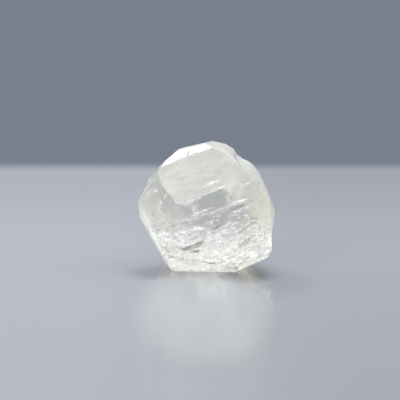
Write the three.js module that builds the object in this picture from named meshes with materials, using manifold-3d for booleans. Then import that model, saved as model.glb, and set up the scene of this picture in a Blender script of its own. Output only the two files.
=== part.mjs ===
// A rough topaz crystal: one clear stone, 22 mm wide, standing on its flat foot.
// Millimetres, +Z up, the front of the stone faces -Y, origin under its middle on the foot.
import * as THREE from "three";
import { ConvexGeometry } from "three/addons/geometries/ConvexGeometry.js";
import { mergeVertices } from "three/addons/utils/BufferGeometryUtils.js";
import Module from "manifold-3d";

const wasm = await Module();
wasm.setup();

// ---- Driving dimensions -------------------------------------------------------------------
const HEART_HEIGHT = 10; // the point that every face's reach is measured from
const BLANK_SIZE = 40; // the block that the faces are cut from
const CUT_OVER = 0.35; // how far each chip and scoop stands out of the face that it is cut in
const SCOOP_SIDES = 20; // flats round a shell-like scoop
const SCOOP_RINGS = 6; // rings from a scoop's middle to its rim
const SHARD_SIDES = 6; // edges round a small broken pit
const EDGE_CHIPS = 44; // small bruises along the edges between faces
const EDGE_WIDTH = 0.3; // how near an edge counts as on it
const EDGE_ANGLE = THREE.MathUtils.degToRad(24); // the least turn between faces that bruises
const RANDOM_SEED = 29;
const HEART = new THREE.Vector3(0, 0, HEART_HEIGHT);

// Natural and broken faces: [name, azimuth, tilt, reach].
// Azimuth 0 faces the front and 90 the right, tilt is upwards, both in degrees. Reach is in mm.
const FACES = [
  ["foot", 0, -90, 10],
  ["front_upper", -4, 18, 6.9],
  ["front_left", -36.7, -11.5, 7.45],
  ["left_bend", -33, 4.3, 8.49],
  ["front_corner", -16, -9.8, 7.17],
  ["front_middle", 4, -6, 6.85],
  ["front_soft", 19, 12, 7.95],
  ["front_bend", 30, 9, 8.4],
  ["front_turn", 22, -2, 7.85],
  ["front_right", 40, 4, 8.65],
  ["front_lower", -3, -22, 7.65],
  ["crown_band", -33.8, 56, 9.8],
  ["lower_left", -80, -29, 10.2],
  ["left_side", -88, -3, 10.95],
  ["upper_left", -85, 31, 9.98],
  ["shoulder_left", -100, 47, 9.7],
  ["crown_left", -110, 76, 9.95],
  ["crown_right", 80, 74, 9.9],
  ["shoulder_high", 85, 53, 9.35],
  ["shoulder_right", 88, 41, 9.72],
  ["upper_right", 92, 22, 9.9],
  ["right_soft", 66, 2, 10.4],
  ["right_side", 91, -5.7, 10.95],
  ["lower_right", 75, -66, 11.3],
  ["corner_right", 84, -34, 12.6],
  ["back_left", -140, -4, 8.2],
  ["back", 176, 8, 7.8],
  ["back_right", 128, 3, 8.8],
  ["back_upper", -170, 42, 9.0],
  ["back_lower", 165, -38, 9.4],
];

// Shell-like scoops: [azimuth, offset, height, turn, half length, half width, depth, ripple].
// The offset runs to the right as seen from that azimuth, and turn is the long axis's slope in degrees.
const SCOOPS = [
  [-4, -2.8, 15.4, 20, 8.6, 6.4, 0.36, 0.012], // the milky upper face
  [-3, -3.3, 0.8, -2, 4.0, 1.2, 0.28, 0.0], // the lens by the foot
  [88, 1.6, 17.6, 3, 8.5, 1.5, 0.85, 0.0], // the notch below the crown
  [-88, -1.2, 12.6, 70, 4.4, 3.0, 0.4, 0.03],
  [150, 1.8, 12.5, 30, 5.4, 4.2, 0.6, 0.035],
  [-150, -1.5, 6.5, -35, 4.6, 3.6, 0.45, 0.03],
  [100, -2.6, 5.6, 10, 3.6, 2.6, 0.4, 0.03],
];

// Ledges, where the face above leans in and a narrow step stands out below it:
// [azimuth, offset, height, slope, length, rise, depth, lean, splinters], in degrees and mm.
// Lean is how far the step runs down to its lip, or, below 0, how far it is undercut.
const LEDGES = [
  [0, -2.0, 9.07, 19, 11, 14, 0.5, -0.1, 1], // the smooth middle band and the ridge under it
  [0, 1.0, 10.1, 19, 7, 14, 1.3, -0.27, 0], // and its deeper right half
  [0, -1.6, 7.35, 18, 4.2, 1.3, 0.4, 0.14, 4],
  [0, 4.6, 11.75, 18, 4.6, 1.1, 0.26, 0.1, 3],
  [0, 4.9, 10.2, 18, 4.2, 1.2, 0.6, 0.1, 1], // the dark hollow under the right ledge
  [0, 1.7, 7.3, 20, 2.6, 0.9, 0.45, 0.1, 1],
  [0, 5.9, 4.5, 35, 2.8, 0.9, 0.4, 0.1, 1],
  [0, -2.3, 4.1, 16, 3.4, 0.8, 0.6, 0.1, 2],
  [0, -0.5, 5.5, 24, 3.8, 1.2, 0.35, 0.1, 3],
  [0, 3.2, 8.2, 20, 5.2, 1.4, 0.3, 0.1, 4],
  [0, 4.4, 5.6, 22, 4.6, 1.3, 0.35, 0.1, 4],
  [0, 6.8, 7.4, 30, 3.8, 1.0, 0.3, 0.1, 3],
  [0, 8.0, 4.4, 34, 3.4, 1.1, 0.3, 0.1, 3],
  [0, -6.2, 6.4, 8, 3.6, 1.4, 0.35, 0.1, 3],
  [0, -4.4, 8.0, 38, 3.4, 1.2, 0.3, 0.1, 3],
  [-4, -0.6, 12.6, 17, 7.0, 0.9, 0.1, 0.06, 0], // terraces above the rim
  [-4, 0.9, 13.5, 15, 6.0, 0.8, 0.08, 0.05, 0],
  [-4, -2.4, 14.6, 20, 4.4, 0.7, 0.06, 0.05, 0],
  [-30, -1.0, 18.6, 80, 2.6, 0.5, 0.1, 0.04, 0], // the step in the crown band
  [180, -1.5, 17.0, -12, 6.5, 1.6, 0.22, 0.12, 2], // the back and the sides
  [180, 2.2, 7.6, -160, 6.0, 1.8, 0.34, 0.12, 3],
  [180, -1.0, 5.6, 12, 5.0, 1.4, 0.3, 0.12, 3],
  [-140, 0.5, 14.0, 78, 5.5, 1.3, 0.26, 0.1, 2],
  [-125, 0.0, 9.0, 84, 6.0, 1.0, 0.22, 0.1, 2],
  [128, -1.4, 8.0, 96, 6.5, 1.2, 0.24, 0.1, 2],
  [100, 1.2, 12.0, 82, 5.0, 0.9, 0.2, 0.08, 2],
];

// Growth lines, which run up the side faces: [azimuth, offset from and to, height, count].
const STRIATIONS = [
  [176, -4.4, 0.4, 11.5, 7],
  [-140, -2.2, 2.4, 11.0, 6],
  [110, -2.4, 2.6, 11.0, 5],
];

// Fields of small broken pits: [azimuth, offset from and to, height from and to at offset 0,
// climb of the upper limit per mm of offset, slope, spread, count, size].
const ROUGH_FIELDS = [
  [0, -6.8, 0.5, 2.2, 8.4, 0.26, 20, 50, 36, 1.25], // the hackly lower front, above the lens
  [0, -6.8, 0.5, 2.0, 8.9, 0.3, 22, 80, 54, 0.7],
  [0, 0.5, 6.6, 0.8, 8.2, 0.2, 22, 50, 34, 1.25], // and to the right of it
  [0, 0.5, 6.6, 0.8, 8.9, 0.16, 24, 80, 46, 0.7],
  [0, 6.6, 9.8, 1.0, 7.2, 0, 30, 80, 16, 0.8],
  [-62, -6, 3, 6.5, 13.5, 0, 70, 70, 26, 0.7], // the crumbled left margin
  [84, -4, 4, 1.5, 13, 0, 60, 60, 26, 0.8], // the right margin
];

// ---- Solids -------------------------------------------------------------------------------
function solidFrom(geometry) {
  const bare = geometry.index ? geometry.toNonIndexed() : geometry.clone();
  bare.deleteAttribute("normal");
  bare.deleteAttribute("uv");
  const merged = mergeVertices(bare, 1e-5);
  return new wasm.Manifold(
    new wasm.Mesh({
      numProp: 3,
      vertProperties: new Float32Array(merged.attributes.position.array),
      triVerts: new Uint32Array(merged.index.array),
    }),
  );
}

function geometryFrom(solid) {
  const mesh = solid.getMesh();
  const geometry = new THREE.BufferGeometry();
  geometry.setAttribute("position", new THREE.BufferAttribute(mesh.vertProperties, 3));
  geometry.setIndex(new THREE.BufferAttribute(mesh.triVerts, 1));
  const faceted = geometry.toNonIndexed();
  faceted.computeVertexNormals();
  return faceted;
}

function seededRandom(seed) {
  let state = seed;
  return () => {
    state = (state + 0x6d2b79f5) | 0;
    let mixed = Math.imul(state ^ (state >>> 15), 1 | state);
    mixed = (mixed + Math.imul(mixed ^ (mixed >>> 7), 61 | mixed)) ^ mixed;
    return ((mixed ^ (mixed >>> 14)) >>> 0) / 4294967296;
  };
}

// ---- Places on the stone ------------------------------------------------------------------
function direction(azimuth, tilt) {
  const a = THREE.MathUtils.degToRad(azimuth);
  const t = THREE.MathUtils.degToRad(tilt);
  return new THREE.Vector3(Math.sin(a) * Math.cos(t), -Math.cos(a) * Math.cos(t), Math.sin(t));
}

// The block that lies beyond a plane, for cutting a face.
function beyond(azimuth, tilt, reach) {
  const normal = direction(azimuth, tilt);
  const block = new THREE.BoxGeometry(2 * BLANK_SIZE, 2 * BLANK_SIZE, BLANK_SIZE);
  block.translate(0, 0, BLANK_SIZE / 2);
  const turn = new THREE.Quaternion().setFromUnitVectors(new THREE.Vector3(0, 0, 1), normal);
  const place = new THREE.Matrix4().compose(
    HEART.clone().addScaledVector(normal, reach),
    turn,
    new THREE.Vector3(1, 1, 1),
  );
  return solidFrom(block.applyMatrix4(place));
}

// The faces that a line from inside the stone meets, nearest first: how far off, where, and the normal.
function waysOut(from, heading) {
  const met = [];
  for (const [, azimuth, tilt, reach] of FACES) {
    const normal = direction(azimuth, tilt);
    const distance = (reach - normal.dot(from.clone().sub(HEART))) / normal.dot(heading);
    if (distance > 0) met.push({ distance, normal, point: from.clone().addScaledVector(heading, distance) });
  }
  return met.sort((a, b) => a.distance - b.distance);
}

// A place on the stone as a matrix: X along the slope, Y up the face, Z out of it.
function placeOn(azimuth, offset, height, slope) {
  const heading = direction(azimuth, 0);
  const across = direction(azimuth + 90, 0);
  const from = across.clone().multiplyScalar(offset).setZ(height);
  const [{ point, normal }] = waysOut(from, heading);
  const up = normal.clone().cross(across).normalize();
  const along = up.clone().cross(normal).applyAxisAngle(normal, THREE.MathUtils.degToRad(slope));
  const place = new THREE.Matrix4().makeBasis(along, normal.clone().cross(along), normal);
  return place.setPosition(point);
}

// ---- Cuts ---------------------------------------------------------------------------------
// A chip with a flat, leaning floor: deepest along its lower edge, fading out above and at both ends.
function chip({ length, rise, depth, lean, skew }) {
  const inner = length * 0.36;
  const outwards = (depth + CUT_OVER) / depth;
  const end = inner + (length / 2 - inner) * outwards;
  const top = inner * 0.8 * Math.min(outwards, 2);
  const undercut = Math.min(lean, 0);
  const points = [
    new THREE.Vector3(-inner, undercut, -depth * 0.9),
    new THREE.Vector3(inner, undercut, -depth),
    new THREE.Vector3(-end, 0, CUT_OVER),
    new THREE.Vector3(end, 0, CUT_OVER),
    new THREE.Vector3(-top + skew, rise * outwards, CUT_OVER),
    new THREE.Vector3(top + skew, rise * 0.8 * outwards, CUT_OVER),
    new THREE.Vector3(-inner, (undercut - lean) * outwards, CUT_OVER),
    new THREE.Vector3(inner, (undercut - lean) * outwards, CUT_OVER),
  ];
  return new ConvexGeometry(points);
}

// A shallow bowl with rings that lie round its deepest point, as a shell-like fracture has.
function scoop(halfLength, halfWidth, depth, ripple) {
  const over = Math.sqrt(1 + CUT_OVER / depth);
  const profile = [new THREE.Vector2(0, -depth)];
  for (let ring = 1; ring <= SCOOP_RINGS; ring += 1) {
    const out = (over * ring) / SCOOP_RINGS;
    const wave = ripple * Math.cos(ring * Math.PI);
    profile.push(new THREE.Vector2(out, depth * (out * out - 1) + wave));
  }
  profile.push(new THREE.Vector2(0, CUT_OVER + ripple));
  const bowl = new THREE.LatheGeometry(profile, SCOOP_SIDES);
  bowl.rotateX(Math.PI / 2);
  return bowl.scale(halfLength, halfWidth, 1);
}

// One ledge, with small splinters broken off along its edge.
function ledge([azimuth, offset, height, slope, length, rise, depth, lean, splinters], random) {
  const place = placeOn(azimuth, offset, height, slope);
  const cuts = [chip({ length, rise, depth, lean, skew: 0 }).applyMatrix4(place)];
  for (let i = 0; i < splinters; i += 1) {
    const size = { length: 0.8 + 1.2 * random(), rise: 0.3 + 0.5 * random(), lean: 0.1, skew: 0 };
    const splinter = chip({ ...size, depth: depth * (0.4 + 0.5 * random()) });
    splinter.rotateZ(0.5 * (random() - 0.5));
    splinter.translate(length * 0.4 * (2 * random() - 1), -0.35 * random(), -0.1);
    cuts.push(splinter.applyMatrix4(place));
  }
  return cuts;
}

// Growth lines: long, narrow, shallow grooves side by side.
function growthLines([azimuth, left, right, height, count], random) {
  const cuts = [];
  for (let i = 0; i < count; i += 1) {
    const offset = left + ((right - left) * (i + 0.6 * random())) / count;
    const size = { length: 4 + 5 * random(), rise: 0.25 + 0.3 * random(), depth: 0.07 + 0.07 * random() };
    const place = placeOn(azimuth, offset, height + 3 * (random() - 0.5), 90 + 3 * (random() - 0.5));
    cuts.push(chip({ ...size, lean: 0.1, skew: 0 }).applyMatrix4(place));
  }
  return cuts;
}

// A small broken pit: an uneven rim, and a deepest point near its lower edge.
function shard(length, width, depth, random) {
  const outwards = (depth + CUT_OVER) / depth;
  const points = [
    new THREE.Vector3(length * 0.3 * (random() - 0.7), -width * 0.3, -depth),
    new THREE.Vector3(length * 0.3 * (random() + 0.2), -width * 0.2, -depth * 0.8),
  ];
  for (let side = 0; side < SHARD_SIDES; side += 1) {
    const angle = (2 * Math.PI * (side + 0.5 * random())) / SHARD_SIDES;
    const reach = outwards * (0.7 + 0.6 * random());
    const rim = new THREE.Vector2(Math.cos(angle), Math.sin(angle)).multiplyScalar(reach / 2);
    points.push(new THREE.Vector3(rim.x * length, rim.y * width, CUT_OVER));
  }
  return new ConvexGeometry(points);
}

// Bruised edges: small chips where two faces meet at a clear angle, all round the stone.
function edgeChips(count, random) {
  const cuts = [];
  while (cuts.length < count) {
    const heading = direction(360 * random(), THREE.MathUtils.radToDeg(Math.asin(1.6 * random() - 0.7)));
    const [first, second] = waysOut(HEART, heading);
    const blunt = first.normal.dot(second.normal) > Math.cos(EDGE_ANGLE);
    if (blunt || second.distance - first.distance > EDGE_WIDTH) continue;
    const normal = first.normal.clone().add(second.normal).normalize();
    const along = first.normal.clone().cross(second.normal).normalize();
    const place = new THREE.Matrix4().makeBasis(along, normal.clone().cross(along), normal);
    const cut = shard(0.7 + 1.6 * random(), 0.4 + 0.4 * random(), 0.14 + 0.2 * random(), random);
    cuts.push(cut.rotateZ(0.8 * (random() - 0.5)).applyMatrix4(place.setPosition(first.point)));
  }
  return cuts;
}

// Rough ground: broken pits that lie mostly along one slope.
function roughField([azimuth, left, right, low, high, climb, slope, spread, count, size], random) {
  const cuts = [];
  for (let i = 0; i < count; i += 1) {
    const offset = left + (right - left) * random();
    const height = low + (high + climb * offset - low) * random();
    const place = placeOn(azimuth, offset, height, slope + spread * (random() - 0.5));
    const length = size * (0.8 + 1.6 * random());
    const width = size * (0.4 + 0.6 * random());
    cuts.push(shard(length, width, size * (0.12 + 0.2 * random()), random).applyMatrix4(place));
  }
  return cuts;
}

function stone() {
  const random = seededRandom(RANDOM_SEED);
  const cuts = [];
  for (const [azimuth, offset, height, turn, ...size] of SCOOPS) {
    cuts.push(scoop(...size).applyMatrix4(placeOn(azimuth, offset, height, turn)));
  }
  for (const row of LEDGES) cuts.push(...ledge(row, random));
  for (const row of ROUGH_FIELDS) cuts.push(...roughField(row, random));
  for (const row of STRIATIONS) cuts.push(...growthLines(row, random));
  cuts.push(...edgeChips(EDGE_CHIPS, random));

  const blank = new THREE.BoxGeometry(BLANK_SIZE, BLANK_SIZE, BLANK_SIZE);
  let solid = solidFrom(blank.translate(0, 0, HEART_HEIGHT));
  for (const [, azimuth, tilt, reach] of FACES) solid = solid.subtract(beyond(azimuth, tilt, reach));
  for (const cut of cuts) solid = solid.subtract(solidFrom(cut));
  return solid;
}

const crystal = new THREE.Mesh(
  geometryFrom(stone()),
  new THREE.MeshStandardMaterial({ color: 0xdfe2da, roughness: 0.15, metalness: 0 }),
);
crystal.name = "topaz_crystal";

const part = new THREE.Group();
part.add(crystal);

export default part;
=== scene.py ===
"""A rough topaz crystal on a pale studio table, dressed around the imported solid."""

import itertools
import logging
import math
from dataclasses import dataclass, field
from enum import Enum

import bpy
import numpy as np
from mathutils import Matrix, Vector

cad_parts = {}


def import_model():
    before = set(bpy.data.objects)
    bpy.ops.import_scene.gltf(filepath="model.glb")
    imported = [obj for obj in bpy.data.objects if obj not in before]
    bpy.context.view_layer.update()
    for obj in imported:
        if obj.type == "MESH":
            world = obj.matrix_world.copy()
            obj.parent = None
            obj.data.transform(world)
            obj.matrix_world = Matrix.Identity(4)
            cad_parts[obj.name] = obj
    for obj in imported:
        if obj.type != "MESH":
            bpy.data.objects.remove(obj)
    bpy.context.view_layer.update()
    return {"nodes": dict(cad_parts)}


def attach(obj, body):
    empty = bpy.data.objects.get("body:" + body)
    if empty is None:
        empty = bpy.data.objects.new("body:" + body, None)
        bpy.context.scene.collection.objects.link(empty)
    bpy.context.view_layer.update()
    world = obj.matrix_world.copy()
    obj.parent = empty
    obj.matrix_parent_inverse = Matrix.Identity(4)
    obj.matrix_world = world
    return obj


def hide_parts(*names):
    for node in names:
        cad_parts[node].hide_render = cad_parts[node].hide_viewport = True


MM = 0.001
NODE = "topaz_crystal"
Triple = tuple[float, float, float]

log = logging.getLogger("topaz")


# ---- Small helpers ------------------------------------------------------------------------
def deselect_all() -> None:
    """Clears the selection, which the frame leaves on the CAD nodes."""
    bpy.ops.object.select_all(action="DESELECT")


def activate(piece: bpy.types.Object) -> None:
    """Makes one object the only selected and active one.

    Args:
        piece: The object to work on.
    """
    deselect_all()
    piece.select_set(True)
    bpy.context.view_layer.objects.active = piece


def facing(azimuth: float, tilt: float) -> np.ndarray:
    """Gives the direction that a face looks in.

    Args:
        azimuth: Degrees round from the front, 90 being the right.
        tilt: Degrees upwards.

    Returns:
        The unit vector.
    """
    a, t = math.radians(azimuth), math.radians(tilt)
    return np.array((math.sin(a) * math.cos(t), -math.cos(a) * math.cos(t), math.sin(t)))


def smooth_step(values: np.ndarray, low: float, high: float) -> np.ndarray:
    """Rises smoothly from 0 at low to 1 at high.

    Args:
        values: The numbers to map.
        low: Where the result is 0.
        high: Where the result is 1.

    Returns:
        Numbers from 0 to 1.
    """
    share = np.clip((values - low) / (high - low), 0.0, 1.0)
    return share * share * (3.0 - 2.0 * share)


class Zone(Enum):
    """The parts of the stone's surface that are finished differently, some of them with painted light
    and shade.
    """

    HACKLY = "hackly"
    FROSTED = "frosted"
    BRUISED = "bruised_and_highlit"
    CREVICE = "crevice"
    SCRATCHED = "scratched"


@dataclass(frozen=True)
class Face:
    """A broad face of the stone and how frosted it is.

    Attributes:
        azimuth: Degrees round from the front, 90 being the right.
        tilt: Degrees upwards.
        frost: From 0, glassy, to 1, frosted.
    """

    azimuth: float
    tilt: float
    frost: float


@dataclass(frozen=True)
class Patch:
    """A slanting oval on the front of the stone, seen from straight ahead.

    Attributes:
        across: Metres from the middle, to the right.
        height: Metres above the table.
        wide: Metres from its middle to its side.
        high: Metres from its middle to its top.
        slope: Degrees that it rises towards the right.
        strength: The share in its middle.
    """

    across: float
    height: float
    wide: float
    high: float
    slope: float = 20.0
    strength: float = 1.0

    def share(self, places: np.ndarray, normals: np.ndarray) -> np.ndarray:
        """Gives the oval's strength in its middle, fading to 0 at its rim.

        Args:
            places: The surface's vertices.
            normals: Their normals.

        Returns:
            Shares from 0 to 1.
        """
        turn = math.radians(self.slope)
        right, up = places[:, 0] - self.across, places[:, 2] - self.height
        along = right * math.cos(turn) + up * math.sin(turn)
        aside = up * math.cos(turn) - right * math.sin(turn)
        reach = np.hypot(along / self.wide, aside / self.high)
        inside = self.strength * smooth_step(-reach, -1.2, -0.7)
        return inside * smooth_step(normals @ facing(0, 0), 0.0, 0.25)


@dataclass(frozen=True)
class Spot:
    """A soft oval on the table, for painted pools of light and painted shadows.

    Attributes:
        across: Metres from the middle, to the right.
        back: Metres from the middle, to the back.
        wide: Metres from its middle to its side.
        deep: Metres from its middle to its front.
        share: How strong it is in its middle.
        core: How far out it starts to fade, from 0 in its middle to 1 at its rim.
    """

    across: float
    back: float
    wide: float
    deep: float
    share: float
    core: float = 0.2


@dataclass(frozen=True)
class Grain:
    """A mottled pattern on the stone, drawn out along the ledges.

    Attributes:
        size: Metres across its features.
        stretch: Their length along the slope, from front to back and across the slope.
        bounds: The noise where the pattern starts and where it is full.
        shares: Its strength there.
        detail: How many finer layers it has.
        rough: How strong the finer layers are.
        slope: Degrees that it rises towards the right.
    """

    size: float
    stretch: Triple = (1.0, 1.0, 1.0)
    bounds: tuple[float, float] = (0.0, 1.0)
    shares: tuple[float, float] = (0.0, 1.0)
    detail: float = 3.0
    rough: float = 0.55
    slope: float = 19.0


@dataclass(frozen=True)
class Breakage:
    """One layer of small broken facets.

    Attributes:
        size: Metres across a facet.
        stretch: How many times longer a facet is along the slope.
        depth: Metres from the highest facet to the lowest.
        seed: Start of the random draws.
        tilt: How steep the facets are.
        repeat: How many facets lie along each axis before the pattern repeats.
    """

    size: float
    stretch: float
    depth: float
    seed: int
    tilt: float = 1.6
    repeat: int = 64


class NodeBench:
    """Adds and joins shader nodes in one material."""

    def __init__(self, tree: bpy.types.NodeTree) -> None:
        """Starts on an empty tree.

        Args:
            tree: The node tree to fill.
        """
        self.tree = tree
        tree.nodes.clear()

    def add(self, kind: str, **settings: object) -> bpy.types.Node:
        """Adds a node.

        Args:
            kind: The node's type name without its Shader prefix.
            **settings: Properties of the node, such as operation.

        Returns:
            The new node.
        """
        node = self.tree.nodes.new("ShaderNode" + kind)
        for name, value in settings.items():
            setattr(node, name, value)
        return node

    def feed(self, socket: bpy.types.NodeSocket, value: object) -> None:
        """Joins an output to an input, or sets the input's own value.

        Args:
            socket: The input.
            value: An output socket, a number or a tuple.
        """
        if isinstance(value, bpy.types.NodeSocket):
            self.tree.links.new(value, socket)
        else:
            socket.default_value = value

    def maths(self, operation: str, first: object, second: object = 0.0) -> bpy.types.NodeSocket:
        """Adds a Math node.

        Args:
            operation: The node's operation.
            first: Its first input.
            second: Its second input.

        Returns:
            Its result.
        """
        node = self.add("Math", operation=operation)
        self.feed(node.inputs[0], first)
        self.feed(node.inputs[1], second)
        return node.outputs[0]

    def times(self, first: object, second: object) -> bpy.types.NodeSocket:
        """Multiplies two values."""
        return self.maths("MULTIPLY", first, second)

    def most(self, *values: object) -> bpy.types.NodeSocket:
        """Gives the largest of some values.

        Args:
            *values: Output sockets or numbers.

        Returns:
            The largest.
        """
        largest = values[0]
        for value in values[1:]:
            largest = self.maths("MAXIMUM", largest, value)
        return largest

    def span(
        self, value: object, low: float, high: float, to_low: float, to_high: float
    ) -> bpy.types.NodeSocket:
        """Maps a range of values smoothly to another.

        Args:
            value: The input.
            low: The input that gives to_low.
            high: The input that gives to_high.
            to_low: The result at low.
            to_high: The result at high.

        Returns:
            The mapped value.
        """
        node = self.add("MapRange", interpolation_type="SMOOTHSTEP")
        names = ("From Min", "From Max", "To Min", "To Max")
        for name, number in zip(names, (low, high, to_low, to_high)):
            node.inputs[name].default_value = number
        self.feed(node.inputs["Value"], value)
        return node.outputs["Result"]

    def blend(self, share: bpy.types.NodeSocket, first: object, second: object) -> bpy.types.NodeSocket:
        """Blends two colours.

        Args:
            share: 0 for the first, 1 for the second.
            first: A colour, or an output that gives one.
            second: Another.

        Returns:
            The blended colour.
        """
        node = self.add("Mix", data_type="RGBA")
        self.feed(node.inputs["Factor"], share)
        for socket, colour in ((node.inputs["A"], first), (node.inputs["B"], second)):
            self.feed(socket, (*colour, 1.0) if isinstance(colour, tuple) else colour)
        return node.outputs["Result"]

    def place(self, turn: Triple, stretch: Triple) -> bpy.types.NodeSocket:
        """Gives turned and stretched coordinates on the piece.

        Args:
            turn: Degrees round X, Y and Z.
            stretch: Scale along each axis.

        Returns:
            The coordinates.
        """
        where = self.add("TexCoord")
        mapping = self.add("Mapping", vector_type="TEXTURE")
        mapping.inputs["Rotation"].default_value = [math.radians(angle) for angle in turn]
        mapping.inputs["Scale"].default_value = stretch
        self.feed(mapping.inputs["Vector"], where.outputs["Object"])
        return mapping.outputs["Vector"]

    def pattern(self, grain: Grain) -> bpy.types.NodeSocket:
        """Adds a grain's bare noise.

        Args:
            grain: The grain.

        Returns:
            The noise, about 0.5 on average.
        """
        node = self.add("TexNoise")
        self.feed(node.inputs["Vector"], self.place((0.0, -grain.slope, 0.0), grain.stretch))
        node.inputs["Scale"].default_value = 1.0 / grain.size
        node.inputs["Detail"].default_value = grain.detail
        node.inputs["Roughness"].default_value = grain.rough
        return node.outputs["Fac"]

    def grain(self, grain: Grain, zone: Zone | None = None) -> bpy.types.NodeSocket:
        """Adds a grain between its bounds.

        Args:
            grain: The grain.
            zone: The only zone that shows it, if not all do.

        Returns:
            Its strength.
        """
        strength = self.span(self.pattern(grain), *grain.bounds, *grain.shares)
        return strength if zone is None else self.times(self.zone(zone), strength)

    def zone(self, zone: Zone) -> bpy.types.NodeSocket:
        """Reads how far the surface belongs to a zone.

        Args:
            zone: The zone.

        Returns:
            A share from 0 to 1.
        """
        node = self.add("Attribute", attribute_type="GEOMETRY", attribute_name=zone.value)
        return node.outputs["Fac"]

    def oval(self, where: bpy.types.NodeSocket, spot: Spot) -> bpy.types.NodeSocket:
        """Gives a soft oval on the table, as used for painted pools of light and painted shadows.

        Args:
            where: Coordinates on the table.
            spot: The patch.

        Returns:
            Its share in the middle, fading to 0 at its rim.
        """
        offset = self.add("VectorMath", operation="SUBTRACT")
        self.feed(offset.inputs[0], where)
        offset.inputs[1].default_value = (spot.across, spot.back, 0.0)
        scaled = self.add("VectorMath", operation="DIVIDE")
        self.feed(scaled.inputs[0], offset.outputs["Vector"])
        scaled.inputs[1].default_value = (spot.wide, spot.deep, 1.0)
        reach = self.add("VectorMath", operation="LENGTH")
        self.feed(reach.inputs[0], scaled.outputs["Vector"])
        return self.span(reach.outputs["Value"], spot.core, 1.0, spot.share, 0.0)

    def bump(self, height: object, depth: float, under: object = None) -> bpy.types.NodeSocket:
        """Adds fine relief.

        Args:
            height: The relief's height from 0 to 1.
            depth: Metres from lowest to highest.
            under: The relief that this one lies on.

        Returns:
            The bent normal.
        """
        node = self.add("Bump")
        node.inputs["Distance"].default_value = depth
        self.feed(node.inputs["Height"], height)
        if under is not None:
            self.feed(node.inputs["Normal"], under)
        return node.outputs["Normal"]


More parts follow.
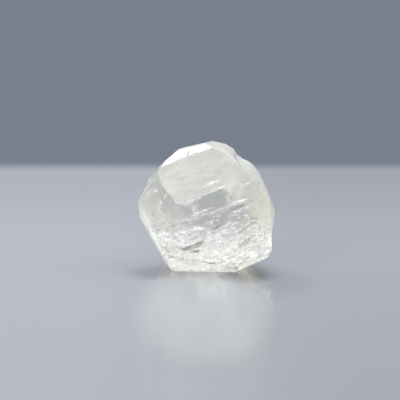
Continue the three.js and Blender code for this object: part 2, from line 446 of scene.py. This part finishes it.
# ---- The crystal --------------------------------------------------------------------------
@dataclass(frozen=True)
class TopazFinish:
    """Clear, pale straw crystal: glassy breaks, frosted faces, white bruise patches, painted highlights
    and glints, and painted shade in crevices.
    """

    refraction: float = 1.62
    body_colour: Triple = (0.92, 0.935, 0.78)
    body_density: float = 12.0
    surface_tint: Triple = (1.0, 0.985, 0.95)
    frost_tint: Triple = (0.99, 0.972, 0.825)
    # The dark colour of the painted shade in crevices and under ledges, also used for the dark specks
    # and faint veils.
    shade_speck_veil_colour: Triple = (0.15, 0.15, 0.16)
    straw_power: float = 4.0
    gloss_roughness: float = 0.14
    frost_roughness: float = 0.40
    crevice_roughness: float = 0.5
    frost_milk: float = 0.24
    milk_power: float = 2.0
    bruise_and_highlight_milk: float = 0.85
    scratch_milk: float = 0.85
    # Mottle of the painted shade in crevices and under ledges.
    shade_mottle: Grain = Grain(0.5 * MM, (2, 1, 1), (0.35, 0.6), (0.5, 1.0))
    veils: Grain = Grain(0.7 * MM, (3, 1.5, 1), (0.42, 0.62), (0.0, 0.19), 4.0, 0.65)
    specks: Grain = Grain(0.3 * MM, (1.6, 1, 1), (0.6, 0.68), (0.0, 0.6), 2.0)
    streaks: Grain = Grain(0.5 * MM, (5, 2, 1), (0.35, 0.66), (0.8, 1.2), 4.0, 0.65)
    clouds: Grain = Grain(2.6 * MM, (1.6, 1, 1), (0.35, 0.66), (0.7, 1.2), 4.0)
    white_mottle: Grain = Grain(0.5 * MM, (1, 1, 1), (0.35, 0.6), (0.45, 1.0), slope=0.0)
    # Painted glints: fine white specks on the broken ground.
    sparks: Grain = Grain(0.26 * MM, (2, 1, 1), (0.58, 0.66), (0.0, 0.7), 2.0)
    haze: Grain = Grain(3.0 * MM, (1, 1, 1), (0.45, 0.7), (0.0, 0.12), 4.0, slope=0.0)
    scratch: Grain = Grain(0.2 * MM, (9, 2, 1), (0.61, 0.67), (0.0, 1.0), 1.0, 0.4, 73.0)
    scratch_depth: float = 0.02 * MM
    splinters: Grain = Grain(0.34 * MM, (3.5, 1, 1), detail=5.0, rough=0.75)
    splinter_depth: float = 0.07 * MM
    splinter_least: float = 0.06
    waves: Grain = Grain(1.6 * MM, (3, 1, 1), detail=2.0)
    wave_depth: float = 0.03 * MM

    def material(self) -> bpy.types.Material:
        """Builds the crystal's material.

        Returns:
            The finished material.
        """
        material = bpy.data.materials.new("topaz_clear")
        material.use_nodes = True
        bench = NodeBench(material.node_tree)
        output = bench.add("OutputMaterial")
        surface = bench.add("BsdfPrincipled")
        surface.inputs["IOR"].default_value = self.refraction
        scratches = bench.grain(self.scratch, Zone.SCRATCHED)
        bench.feed(surface.inputs["Base Color"], self.tint(bench))
        bench.feed(surface.inputs["Transmission Weight"], self.clearness(bench, scratches))
        bench.feed(surface.inputs["Roughness"], self.roughness(bench))
        bench.feed(surface.inputs["Normal"], self.relief(bench, scratches))
        bench.feed(output.inputs["Surface"], surface.outputs["BSDF"])
        body = bench.add("VolumeAbsorption")
        body.inputs["Color"].default_value = (*self.body_colour, 1.0)
        body.inputs["Density"].default_value = self.body_density
        bench.feed(output.inputs["Volume"], body.outputs["Volume"])
        return material

    def tint(self, bench: NodeBench) -> bpy.types.NodeSocket:
        """Builds the surface colour: clear, with painted shade in crevices and under ledges, faint veils
        and dark specks.

        Args:
            bench: The material's nodes.

        Returns:
            The colour.
        """
        # Painted shade: creases and dark ovals under ledges are blended towards the dark colour.
        dull = bench.grain(self.shade_mottle, Zone.CREVICE)
        cloud = bench.grain(self.veils, Zone.FROSTED)
        specks = bench.grain(self.specks, Zone.HACKLY)
        straw = bench.maths("POWER", bench.zone(Zone.FROSTED), self.straw_power)
        clean = bench.blend(straw, self.surface_tint, self.frost_tint)
        return bench.blend(bench.most(dull, cloud, specks), clean, self.shade_speck_veil_colour)

    def clearness(self, bench: NodeBench, scratches: bpy.types.NodeSocket) -> bpy.types.NodeSocket:
        """Builds how clear the surface is: a little milky where frosted, white on bruise patches,
        scratches, painted highlights and painted glints.

        Args:
            bench: The material's nodes.
            scratches: Where the scratches are.

        Returns:
            The share of light that passes through.
        """
        mottle = bench.times(bench.grain(self.streaks), bench.grain(self.clouds))
        frost = bench.maths("POWER", bench.zone(Zone.FROSTED), self.milk_power)
        milk = bench.times(bench.times(frost, mottle), self.frost_milk)
        # White for the bruise whitening and for the painted highlights alike.
        white = bench.times(bench.grain(self.white_mottle, Zone.BRUISED), self.bruise_and_highlight_milk)
        # Painted glints on the broken ground, made white rather than lit.
        glints = bench.grain(self.sparks, Zone.HACKLY)
        lines = bench.times(scratches, self.scratch_milk)
        return bench.maths("SUBTRACT", 1.0, bench.most(milk, white, glints, lines))

    def roughness(self, bench: NodeBench) -> bpy.types.NodeSocket:
        """Builds the roughness: glassy on breaks, frosted on faces, with hazy patches.

        Args:
            bench: The material's nodes.

        Returns:
            The roughness.
        """
        base = bench.span(bench.zone(Zone.FROSTED), 0.0, 1.0, self.gloss_roughness, self.frost_roughness)
        hazy = bench.maths("ADD", base, bench.grain(self.haze))
        dull = bench.times(bench.zone(Zone.CREVICE), self.crevice_roughness)
        return bench.maths("ADD", hazy, dull)

    def relief(self, bench: NodeBench, scratches: bpy.types.NodeSocket) -> bpy.types.NodeSocket:
        """Builds the fine relief: splinters on the broken ground, scratches, faint waves elsewhere.

        Args:
            bench: The material's nodes.
            scratches: Where the scratches are.

        Returns:
            The bent normal.
        """
        strength = bench.span(bench.zone(Zone.HACKLY), 0.0, 1.0, self.splinter_least, 1.0)
        splinters = bench.times(bench.pattern(self.splinters), strength)
        broken = bench.bump(splinters, self.splinter_depth)
        wavy = bench.bump(bench.pattern(self.waves), self.wave_depth, broken)
        return bench.bump(scratches, self.scratch_depth, wavy)


@dataclass
class CrystalStone:
    """The stone: the solid's shape, with a finer surface."""

    grid: float = 0.14 * MM
    ridge_height: float = 9.3 * MM
    ridge_start: float = -2.4 * MM
    ridge_rise: float = 0.34
    ridge_turn: float = 4.8 * MM
    ridge_fall: float = 0.9
    ridge_wave: float = 0.5 * MM
    ridge_beats: tuple[float, float] = (1.7, 0.9)
    ridge_fade: float = 1.0 * MM
    breakage: Breakage = Breakage(0.9 * MM, 2.4, 0.13 * MM, 3)
    breakage_slope: float = 20.0
    soft_across: tuple[float, float] = (2.0 * MM, 5.0 * MM)
    soft_above: tuple[float, float] = (0.5 * MM, 2.5 * MM)
    soft_facing: tuple[float, float] = (50.0, 25.0)
    soft_step: Patch = Patch(-2.6 * MM, 11.0 * MM, 1.8 * MM, 1.1 * MM)
    soft_passes: int = 160
    crease: float = math.radians(24)
    front_frost: float = 0.72
    back_frost: float = 0.8
    faces: tuple[Face, ...] = (
        Face(-4, 18, 0.85),
        Face(-37, -11, 0.56),
        Face(4, -6, 0.2),
        Face(30, 9, 1.0),
        Face(40, 4, 1.0),
        Face(-34, 56, 0.25),
        Face(-3, -22, 0.3),
        Face(-80, -29, 1.0),
        Face(75, -66, 1.0),
        Face(84, -34, 1.0),
    )
    face_spread: tuple[float, float] = (0.93, 0.99)
    hackly_gloss: float = 0.7
    scratched_face: tuple[float, float] = (-37.0, -11.0)
    scratched_least: float = 0.12
    lens: Patch = Patch(-2.9 * MM, 1.0 * MM, 3.4 * MM, 0.85 * MM, 0.0)
    margins: tuple[Patch, ...] = (
        Patch(-10.2 * MM, 11.0 * MM, 0.9 * MM, 3.0 * MM, 0.0),
        Patch(9.9 * MM, 9.5 * MM, 0.9 * MM, 2.6 * MM, 0.0),
    )
    margin_share: float = 0.7
    # White patches: bruised ground on the front, and painted highlights along the lower right and right
    # rims.
    bruises_and_rim_highlights: tuple[Patch, ...] = (
        Patch(-7.0 * MM, 5.6 * MM, 1.2 * MM, 0.8 * MM),
        Patch(-4.1 * MM, 6.2 * MM, 1.2 * MM, 0.7 * MM),
        Patch(-5.4 * MM, 4.6 * MM, 2.4 * MM, 1.5 * MM, 0.0, 0.8),
        Patch(9.8 * MM, 4.4 * MM, 2.2 * MM, 0.8 * MM, 83.0, 0.4),
        Patch(8.0 * MM, 1.5 * MM, 2.4 * MM, 0.6 * MM, 25.0, 0.6),
        Patch(-3.4 * MM, 2.4 * MM, 1.2 * MM, 0.5 * MM),
        Patch(5.0 * MM, 2.2 * MM, 3.0 * MM, 1.0 * MM),
        Patch(1.6 * MM, 5.4 * MM, 1.6 * MM, 0.6 * MM),
        Patch(2.9 * MM, 18.4 * MM, 2.4 * MM, 1.3 * MM, -24.0, 0.35),
        Patch(-0.5 * MM, 19.7 * MM, 1.6 * MM, 0.6 * MM, 14.0, 0.6),
        Patch(-4.6 * MM, 18.6 * MM, 2.6 * MM, 0.6 * MM, 25.0, 0.25),
    )
    # Thin white lines: scratches on the left face, and painted highlights along the ledges, edges and
    # rims.
    hairlines_and_highlights: tuple[Patch, ...] = (
        Patch(4.8 * MM, 11.5 * MM, 2.0 * MM, 0.14 * MM),
        Patch(-1.1 * MM, 9.85 * MM, 2.4 * MM, 0.16 * MM, 20.2),
        Patch(-1.8 * MM, 7.4 * MM, 0.9 * MM, 0.14 * MM, 18.0),
        Patch(1.0 * MM, 14.6 * MM, 1.3 * MM, 0.13 * MM, 12.0, 0.8),
        Patch(0.2 * MM, 14.1 * MM, 1.3 * MM, 0.12 * MM, 18.0, 0.7),
        Patch(2.4 * MM, 13.9 * MM, 0.8 * MM, 0.12 * MM, 24.0, 0.8),
        Patch(-4.4 * MM, 11.35 * MM, 1.3 * MM, 0.2 * MM, -14.0),
        Patch(-1.9 * MM, 11.9 * MM, 1.4 * MM, 0.14 * MM, 19.5, 0.7),
        Patch(0.6 * MM, 13.1 * MM, 1.2 * MM, 0.1 * MM, 19.5, 0.5),
        Patch(6.3 * MM, 14.3 * MM, 0.5 * MM, 0.14 * MM, 35.0),
        Patch(-4.4 * MM, 2.0 * MM, 2.0 * MM, 0.16 * MM, 0.0),
        Patch(-0.5 * MM, 0.2 * MM, 6.6 * MM, 0.3 * MM, 0.0, 0.8),
        Patch(-8.3 * MM, 5.0 * MM, 5.4 * MM, 0.42 * MM, -66.4),
        Patch(7.8 * MM, 0.95 * MM, 2.2 * MM, 0.34 * MM, 22.0),
        Patch(10.2 * MM, 4.0 * MM, 2.2 * MM, 0.3 * MM, 81.0, 0.8),
        Patch(-7.6 * MM, 10.4 * MM, 1.2 * MM, 0.18 * MM, 66.0),
        Patch(-9.3 * MM, 12.6 * MM, 0.9 * MM, 0.16 * MM, 60.0),
        Patch(-8.3 * MM, 13.0 * MM, 0.8 * MM, 0.15 * MM, 74.0, 0.8),
    )
    # Painted shadows: dark ovals under ledges and in recesses of the front, and a faint one low on the
    # left face.
    hollow_shadows: tuple[Patch, ...] = (
        Patch(4.8 * MM, 10.7 * MM, 1.4 * MM, 0.34 * MM, 20.0, 0.65),
        Patch(-2.6 * MM, 4.2 * MM, 1.9 * MM, 0.36 * MM, 18.0),
        Patch(-1.6 * MM, 4.7 * MM, 1.3 * MM, 0.32 * MM, 24.0),
        Patch(-1.9 * MM, 3.5 * MM, 0.7 * MM, 0.26 * MM, 10.0),
        Patch(-4.2 * MM, 2.15 * MM, 1.9 * MM, 0.18 * MM, -3.0, 0.5),
        Patch(-0.9 * MM, 1.75 * MM, 1.6 * MM, 0.16 * MM, -12.0, 0.4),
        Patch(1.7 * MM, 7.6 * MM, 0.9 * MM, 0.28 * MM, 30.0, 0.65),
        Patch(1.1 * MM, 6.9 * MM, 0.6 * MM, 0.22 * MM, 50.0, 0.6),
        Patch(-0.8 * MM, 8.5 * MM, 2.4 * MM, 0.3 * MM, 20.0, 0.4),
        Patch(5.9 * MM, 4.9 * MM, 1.3 * MM, 0.3 * MM, 35.0, 0.5),
        Patch(2.4 * MM, 12.7 * MM, 1.3 * MM, 0.5 * MM, 20.0, 0.3),
        Patch(-7.2 * MM, 9.4 * MM, 2.6 * MM, 3.4 * MM, -10.0, 0.1),
    )
    bruise: tuple[float, float] = (0.005 * MM, 0.016 * MM)
    crevice: tuple[float, float] = (0.014 * MM, 0.04 * MM)
    # Ledge tops facing upwards on the broken ground are whitened as a painted highlight.
    ledge_top: tuple[float, float] = (0.45, 0.75)
    edge_wear: float = 0.7
    hackly_whiteness: float = 0.35
    patch_whiteness: float = 0.85
    # Strength of the painted shade in creases, and how much the white patches cover it.
    crease_shade: float = 0.6
    patch_cover: float = 0.7
    finish: TopazFinish = field(default_factory=TopazFinish)

    def build(self, source: bpy.types.Object) -> bpy.types.Object:
        """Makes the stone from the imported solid.

        Args:
            source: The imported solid's object.

        Returns:
            The finished stone.
        """
        stone = self.copy_solid(source)
        self.refine(stone)
        self.soften(stone)
        places, normals = self.surface(stone)
        hackly = self.hackly(places, normals)
        crumbled = self.cover(self.margins, places, normals)
        self.store(stone, Zone.HACKLY, np.maximum(hackly, self.margin_share * crumbled))
        self.store(stone, Zone.FROSTED, self.frosted(normals, hackly))
        self.store(stone, Zone.SCRATCHED, self.scratched(normals, hackly))
        self.shatter(stone, places, normals, hackly)
        self.mark_edges(stone)
        bpy.ops.object.shade_smooth_by_angle(angle=self.crease)
        stone.data.materials.clear()
        stone.data.materials.append(self.finish.material())
        return stone

    def copy_solid(self, source: bpy.types.Object) -> bpy.types.Object:
        """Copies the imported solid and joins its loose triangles.

        Args:
            source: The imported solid's object.

        Returns:
            The copy.
        """
        deselect_all()
        stone = bpy.data.objects.new("topaz_stone", source.data.copy())
        bpy.context.scene.collection.objects.link(stone)
        activate(stone)
        bpy.ops.object.mode_set(mode="EDIT")
        bpy.ops.mesh.select_all(action="SELECT")
        bpy.ops.mesh.remove_doubles(threshold=1e-7)
        bpy.ops.object.mode_set(mode="OBJECT")
        return stone

    def refine(self, stone: bpy.types.Object) -> None:
        """Lays a fine, even grid over the facets, which softens their edges a little.

        Args:
            stone: The stone.
        """
        grid = stone.modifiers.new("grid", "REMESH")
        grid.mode = "VOXEL"
        grid.voxel_size = self.grid
        bpy.ops.object.modifier_apply(modifier=grid.name)

    def ridge(self, places: np.ndarray) -> np.ndarray:
        """Gives how far each place lies above the uneven line where the broken ground starts.

        Args:
            places: The surface's vertices.

        Returns:
            Metres above the line.
        """
        across = places[:, 0]
        rise = self.ridge_rise * (across - self.ridge_start)
        fall = (self.ridge_rise + self.ridge_fall) * np.maximum(across - self.ridge_turn, 0.0)
        quick, slow = (across / MM * beat for beat in self.ridge_beats)
        wave = self.ridge_wave * np.sin(quick) * np.sin(slow + 1.0)
        return places[:, 2] - self.ridge_height - rise + fall - wave

    def soften(self, stone: bpy.types.Object) -> None:
        """Rounds the blunt edges of the upper right, and a step in the middle band.

        Args:
            stone: The stone.
        """
        places, normals = self.surface(stone)
        share = smooth_step(places[:, 0], *self.soft_across)
        share *= smooth_step(self.ridge(places), *self.soft_above)
        share *= smooth_step(normals @ facing(*self.soft_facing), 0.1, 0.5)
        share = np.maximum(share, self.soft_step.share(places, normals))
        group = self.group(stone, "soft", share)
        smooth = stone.modifiers.new("soften", "SMOOTH")
        smooth.factor = 0.5
        smooth.iterations = self.soft_passes
        smooth.vertex_group = group.name
        bpy.ops.object.modifier_apply(modifier=smooth.name)

    @staticmethod
    def surface(stone: bpy.types.Object) -> tuple[np.ndarray, np.ndarray]:
        """Reads the mesh.

        Args:
            stone: The stone.

        Returns:
            Its vertices and their normals, one row each.
        """
        mesh = stone.data
        places, normals = np.empty(len(mesh.vertices) * 3), np.empty(len(mesh.vertices) * 3)
        mesh.vertices.foreach_get("co", places)
        mesh.vertex_normals.foreach_get("vector", normals)
        return places.reshape(-1, 3), normals.reshape(-1, 3)

    def hackly(self, places: np.ndarray, normals: np.ndarray) -> np.ndarray:
        """Gives how broken the surface is: the front below the ridge line, but for the lens.

        Args:
            places: The surface's vertices.
            normals: Their normals.

        Returns:
            Shares from 0 to 1.
        """
        front = smooth_step(normals @ facing(0, 0), 0.0, 0.5)
        below = smooth_step(-self.ridge(places), 0.0, self.ridge_fade)
        return front * below * (1.0 - self.lens.share(places, normals))

    @staticmethod
    def cover(patches: tuple[Patch, ...], places: np.ndarray, normals: np.ndarray) -> np.ndarray:
        """Gives how far each place lies in any of the patches."""
        return np.maximum.reduce([patch.share(places, normals) for patch in patches])

    def frosted(self, normals: np.ndarray, hackly: np.ndarray) -> np.ndarray:
        """Gives how frosted the surface is, face by face.

        Args:
            normals: The vertices' normals.
            hackly: How broken the surface is.

        Returns:
            Shares from 0 to 1.
        """
        back = smooth_step(normals @ facing(180, 0), -0.3, 0.4)
        frosted = self.front_frost + (self.back_frost - self.front_frost) * back
        for face in self.faces:
            share = smooth_step(normals @ facing(face.azimuth, face.tilt), *self.face_spread)
            frosted = frosted * (1.0 - share) + face.frost * share
        return frosted * (1.0 - self.hackly_gloss * hackly)

    def scratched(self, normals: np.ndarray, hackly: np.ndarray) -> np.ndarray:
        """Gives how scratched the surface is: most on the left face.

        Args:
            normals: The vertices' normals.
            hackly: How broken the surface is.

        Returns:
            Shares from 0 to 1.
        """
        share = smooth_step(normals @ facing(*self.scratched_face), *self.face_spread)
        return (self.scratched_least + (1.0 - self.scratched_least) * share) * (1.0 - hackly)

    def shatter(
        self, stone: bpy.types.Object, places: np.ndarray, normals: np.ndarray, hackly: np.ndarray
    ) -> None:
        """Breaks the hackly ground into small facets that lie along the ledges.

        Args:
            stone: The stone.
            places: Its vertices.
            normals: Their normals.
            hackly: How broken the surface is.
        """
        broken = np.flatnonzero(hackly > 0.01)
        height = self.facets(places[broken]) * hackly[broken]
        places[broken] += normals[broken] * height[:, None]
        stone.data.vertices.foreach_set("co", places.ravel())
        stone.data.update()

    def facets(self, places: np.ndarray) -> np.ndarray:
        """Gives the height of small flat facets, each tilted its own way.

        Args:
            places: Points on the surface.

        Returns:
            Heights at or below 0, in metres.
        """
        layer = self.breakage
        draws = np.random.default_rng(layer.seed).random((layer.repeat,) * 3 + (7,))
        slope = math.radians(self.breakage_slope)
        axes = np.array(
            (
                (math.cos(slope) / layer.stretch, 0.0, math.sin(slope) / layer.stretch),
                (-math.sin(slope), 0.0, math.cos(slope)),
                (0.0, 1.0, 0.0),
            )
        )
        scaled = places @ axes.T / layer.size
        corner = np.floor(scaled).astype(int)
        nearest = np.full(len(places), np.inf)
        height = np.zeros(len(places))
        for step in itertools.product((-1, 0, 1), repeat=3):
            cell = corner + step
            row = draws[tuple((cell % layer.repeat).T)]
            gap = scaled - cell - row[:, :3]
            distance = (gap * gap).sum(axis=1)
            nearer = distance < nearest
            nearest[nearer] = distance[nearer]
            tilt = layer.tilt * (row[:, 3:6] - 0.5)
            lean = (gap * tilt).sum(axis=1) + row[:, 6] - 1.0
            height[nearer] = lean[nearer]
        return np.minimum(height, 0.0) * layer.depth

    def mark_edges(self, stone: bpy.types.Object) -> None:
        """Marks the rubbed edges, the painted highlights on ledge tops and bright lines, and the painted
        shade in the crevices and under the ledges.

        Args:
            stone: The stone.
        """
        places, normals = self.surface(stone)
        below = smooth_step(-self.ridge(places), -1.5 * MM, 0.0)
        hackly = below * smooth_step(normals @ facing(0, 0), -0.1, 0.2)
        ends = np.empty(len(stone.data.edges) * 2, dtype=np.int32)
        stone.data.edges.foreach_get("vertices", ends)
        pairs = ends.reshape(-1, 2).T
        bulge = ((places - self.around(places, pairs)) * normals).sum(axis=1)[:, None]
        near = self.around(bulge, pairs)
        wide = self.around(near, pairs)
        # The white patches and lines are partly bruises and scratches, partly painted highlights on
        # ledges and rims; the dark ovals are painted shade.
        white = self.cover(self.bruises_and_rim_highlights, places, normals)
        lines = self.cover(self.hairlines_and_highlights, places, normals)
        dull = self.cover(self.hollow_shadows, places, normals)
        edges = self.edge_wear * smooth_step(wide[:, 0], *self.bruise)
        # Painted highlight: ledge tops facing upwards on the broken ground are whitened as if lit from
        # above.
        tops = hackly * smooth_step(normals[:, 2], *self.ledge_top)
        worn_and_highlit = np.maximum(edges, tops) * (1.0 - (1.0 - self.hackly_whiteness) * hackly * (1.0 - white))
        bruised_and_highlit = np.maximum.reduce((worn_and_highlit, self.patch_whiteness * white, lines)) * (1.0 - dull)
        # Painted shade: creases in the broken ground and the dark ovals darken the surface colour.
        creases = hackly * smooth_step(-near[:, 0], *self.crevice)
        crease_shading = self.crease_shade * creases * (1.0 - self.patch_cover * white)
        self.store(stone, Zone.BRUISED, bruised_and_highlit)
        self.store(stone, Zone.CREVICE, np.maximum(crease_shading, dull))

    @staticmethod
    def around(values: np.ndarray, pairs: np.ndarray) -> np.ndarray:
        """Gives the average of each vertex's neighbours.

        Args:
            values: One row for each vertex.
            pairs: The first and the second vertex of each edge.

        Returns:
            One row for each vertex.
        """
        first, second = pairs
        count = np.bincount(pairs.ravel(), minlength=len(values))
        total = np.empty_like(values)
        for column in range(values.shape[1]):
            total[:, column] = np.bincount(first, values[second, column], len(values))
            total[:, column] += np.bincount(second, values[first, column], len(values))
        return total / np.maximum(count, 1)[:, None]

    @staticmethod
    def group(
        stone: bpy.types.Object, name: str, weights: np.ndarray, steps: int = 24
    ) -> bpy.types.VertexGroup:
        """Keeps weights as a vertex group, in even steps.

        Args:
            stone: The stone.
            name: The group's name.
            weights: One share for each vertex.
            steps: How many steps there are from 0 to 1.

        Returns:
            The group.
        """
        group = stone.vertex_groups.new(name=name)
        levels = np.round(weights * steps).astype(int)
        for level in range(1, steps + 1):
            group.add(np.flatnonzero(levels == level).tolist(), level / steps, "REPLACE")
        return group

    @staticmethod
    def store(stone: bpy.types.Object, zone: Zone, weights: np.ndarray) -> None:
        """Keeps a zone as an attribute for the material."""
        attribute = stone.data.attributes.new(zone.value, "FLOAT", "POINT")
        attribute.data.foreach_set("value", weights.astype(np.float32))


# ---- The studio ---------------------------------------------------------------------------
@dataclass
class StudioTable:
    """A pale, faintly glossy table top with a straight back edge, on a slate ground.

    It has a painted pool of light in front of the stone, where the light that passes through it
    falls, and painted shadows beside its foot.
    """

    reach: float = 4.0
    height: float = 0.02 * MM
    top_depth: float = 0.137
    soft_edge: float = 0.012
    top_colour: Triple = (0.168, 0.173, 0.193)
    shade_colour: Triple = (0.025, 0.026, 0.03)
    # Painted light: a paler colour, painted in soft ovals in front of the stone.
    painted_light_colour: Triple = (0.36, 0.37, 0.38)
    # Painted shade: the table darkens towards its right and towards its back.
    right_fade: float = 0.02
    right_shade: float = 0.3
    back_shade: float = 0.52
    painted_light_pools: tuple[Spot, ...] = (
        Spot(-0.8 * MM, -31.0 * MM, 11.2 * MM, 42.0 * MM, 0.22, 0.6),
        Spot(-0.8 * MM, -62.0 * MM, 9.8 * MM, 52.0 * MM, 0.05, 0.5),
    )
    # Painted shadows beside the stone's foot and to its front right.
    painted_shadows: tuple[Spot, ...] = (
        Spot(-8.5 * MM, -5.0 * MM, 6.0 * MM, 8.0 * MM, 0.45),
        Spot(6.3 * MM, -6.5 * MM, 6.6 * MM, 9.5 * MM, 0.8),
        Spot(11.0 * MM, -14.0 * MM, 8.0 * MM, 16.0 * MM, 0.22),
    )
    ground_colour: Triple = (0.085, 0.095, 0.113)
    top_roughness: float = 0.18
    top_gloss: float = 0.5

    def build(self) -> bpy.types.Object:
        """Makes the table.

        Returns:
            The table's object.
        """
        deselect_all()
        middle = (0.0, 0.0, self.height)
        bpy.ops.mesh.primitive_circle_add(
            vertices=96, radius=self.reach, fill_type="NGON", location=middle
        )
        table = bpy.context.active_object
        table.name = "studio_table"
        table.data.materials.append(self.material())
        return table

    def material(self) -> bpy.types.Material:
        """Builds the table's material: pale with painted shade to the right and the back, slate beyond
        its edge.

        Returns:
            The finished material.
        """
        material = bpy.data.materials.new("table_top")
        material.use_nodes = True
        bench = NodeBench(material.node_tree)
        output = bench.add("OutputMaterial")
        where = bench.place((0.0, 0.0, 0.0), (1.0, 1.0, 1.0))
        axes = bench.add("SeparateXYZ")
        bench.feed(axes.inputs[0], where)
        right, back = axes.outputs["X"], axes.outputs["Y"]
        low, high = self.top_depth - self.soft_edge, self.top_depth + self.soft_edge
        beyond = bench.span(back, low, high, 0.0, 1.0)
        right_shade = bench.span(right, -self.right_fade, self.right_fade, 0.0, self.right_shade)
        back_shade = bench.span(back, 0.0, self.top_depth, 0.0, self.back_shade)
        shade = bench.maths("ADD", right_shade, back_shade)
        colour = bench.blend(shade, self.top_colour, self.shade_colour)
        gloss = bench.span(back, low, high, self.top_gloss, 0.0)
        # Painted pools of light: paler ovals blended into the table colour in front of the stone.
        for spot in self.painted_light_pools:
            colour = bench.blend(bench.oval(where, spot), colour, self.painted_light_colour)
        # Painted shadows: dark ovals blended into the table colour, with the gloss taken away under
        # them, which also takes away the reflection there.
        for spot in self.painted_shadows:
            dark = bench.oval(where, spot)
            colour = bench.blend(dark, colour, self.shade_colour)
            gloss = bench.times(gloss, bench.maths("SUBTRACT", 1.0, dark))
        top = bench.add("BsdfPrincipled")
        bench.feed(top.inputs["Base Color"], colour)
        bench.feed(top.inputs["Specular IOR Level"], gloss)
        top.inputs["Roughness"].default_value = self.top_roughness
        ground = bench.add("BsdfDiffuse")
        ground.inputs["Color"].default_value = (*self.ground_colour, 1.0)
        both = bench.add("MixShader")
        bench.feed(both.inputs[0], beyond)
        bench.feed(both.inputs[1], top.outputs["BSDF"])
        bench.feed(both.inputs[2], ground.outputs["BSDF"])
        bench.feed(output.inputs["Surface"], both.outputs["Shader"])
        return material


@dataclass(frozen=True)
class Softbox:
    """A soft round light, far away.

    Attributes:
        azimuth: Degrees round from the front, 90 being the right.
        tilt: Degrees upwards.
        core: Degrees from its middle to where it starts to fade.
        rim: Degrees from its middle to where it ends.
        glow: How bright it is.
    """

    azimuth: float
    tilt: float
    core: float
    rim: float
    glow: float


@dataclass
class StudioLight:
    """Soft light from all round the stone, in a pale room.

    There are softboxes high behind it and on its right, a row in front of it, and two weak ones
    low on its left.
    """

    room: Triple = (0.661, 0.704, 0.777)
    boxes: tuple[Softbox, ...] = (
        Softbox(218, 55, 6, 18, 5.4),
        Softbox(180, 55, 12, 40, 2.15),
        Softbox(90, 45, 12, 40, 3.3),
        Softbox(325, 30, 6, 22, 4.0),
        Softbox(0, 30, 5, 18, 5.0),
        Softbox(35, 30, 6, 22, 1.2),
        Softbox(270, 15, 8, 32, 0.8),
        Softbox(315, 14, 6, 24, 0.8),
    )

    def build(self) -> None:
        """Makes the world that lights the stone."""
        world = bpy.data.worlds.new("studio")
        world.use_nodes = True
        bench = NodeBench(world.node_tree)
        output = bench.add("OutputWorld")
        background = bench.add("Background")
        way = bench.add("TexCoord").outputs["Generated"]
        room = bench.add("RGB")
        room.outputs[0].default_value = (*self.room, 1.0)
        light = room.outputs[0]
        for box in self.boxes:
            both = bench.add("VectorMath", operation="ADD")
            bench.feed(both.inputs[0], light)
            bench.feed(both.inputs[1], self.shine(bench, way, box))
            light = both.outputs["Vector"]
        bench.feed(background.inputs["Color"], light)
        bench.feed(output.inputs["Surface"], background.outputs["Background"])
        bpy.context.scene.world = world

    @staticmethod
    def shine(bench: NodeBench, way: bpy.types.NodeSocket, box: Softbox) -> bpy.types.NodeSocket:
        """Gives a softbox's brightness in the direction looked in.

        Args:
            bench: The world's nodes.
            way: The direction looked in.
            box: The softbox.

        Returns:
            The brightness.
        """
        towards = bench.add("VectorMath", operation="DOT_PRODUCT")
        bench.feed(towards.inputs[0], way)
        towards.inputs[1].default_value = Vector(facing(box.azimuth, box.tilt))
        rim, core = math.cos(math.radians(box.rim)), math.cos(math.radians(box.core))
        return bench.span(towards.outputs["Value"], rim, core, 0.0, box.glow)


@dataclass
class StudioCamera:
    """A long lens a little above the table."""

    lens: float = 150.0
    distance: float = 267.6 * MM
    elevation: float = math.radians(8.0)
    aim: Triple = (-1.12 * MM, 0.0, 10.97 * MM)

    def build(self) -> bpy.types.Object:
        """Makes the camera and gives it to the scene.

        Returns:
            The camera's object.
        """
        data = bpy.data.cameras.new("studio_camera")
        data.lens = self.lens
        data.sensor_width = 36.0
        data.clip_start = 0.01
        data.clip_end = 20.0
        camera = bpy.data.objects.new("studio_camera", data)
        bpy.context.scene.collection.objects.link(camera)
        back = Vector((0.0, -math.cos(self.elevation), math.sin(self.elevation)))
        camera.location = Vector(self.aim) + back * self.distance
        camera.rotation_euler = (-back).to_track_quat("-Z", "Y").to_euler()
        bpy.context.scene.camera = camera
        return camera


def set_light_paths() -> None:
    """Lets light pass through the stone often enough, and shows tones as they are."""
    scene = bpy.context.scene
    scene.view_settings.view_transform = "Standard"
    scene.cycles.max_bounces = 32
    scene.cycles.glossy_bounces = 16
    scene.cycles.transmission_bounces = 24


def main() -> None:
    """Builds the scene in order."""
    logging.basicConfig(level=logging.INFO, format="%(name)s: %(message)s")
    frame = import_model()
    stone = CrystalStone().build(frame["nodes"][NODE])
    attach(stone, "root")
    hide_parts(NODE)
    log.info("%s: %d faces", stone.name, len(stone.data.polygons))
    table = StudioTable().build()
    log.info("%s: %d faces", table.name, len(table.data.polygons))
    StudioLight().build()
    camera = StudioCamera().build()
    log.info("%s: %.0f mm lens", camera.name, camera.data.lens)
    set_light_paths()


if __name__ == "__main__":
    main()
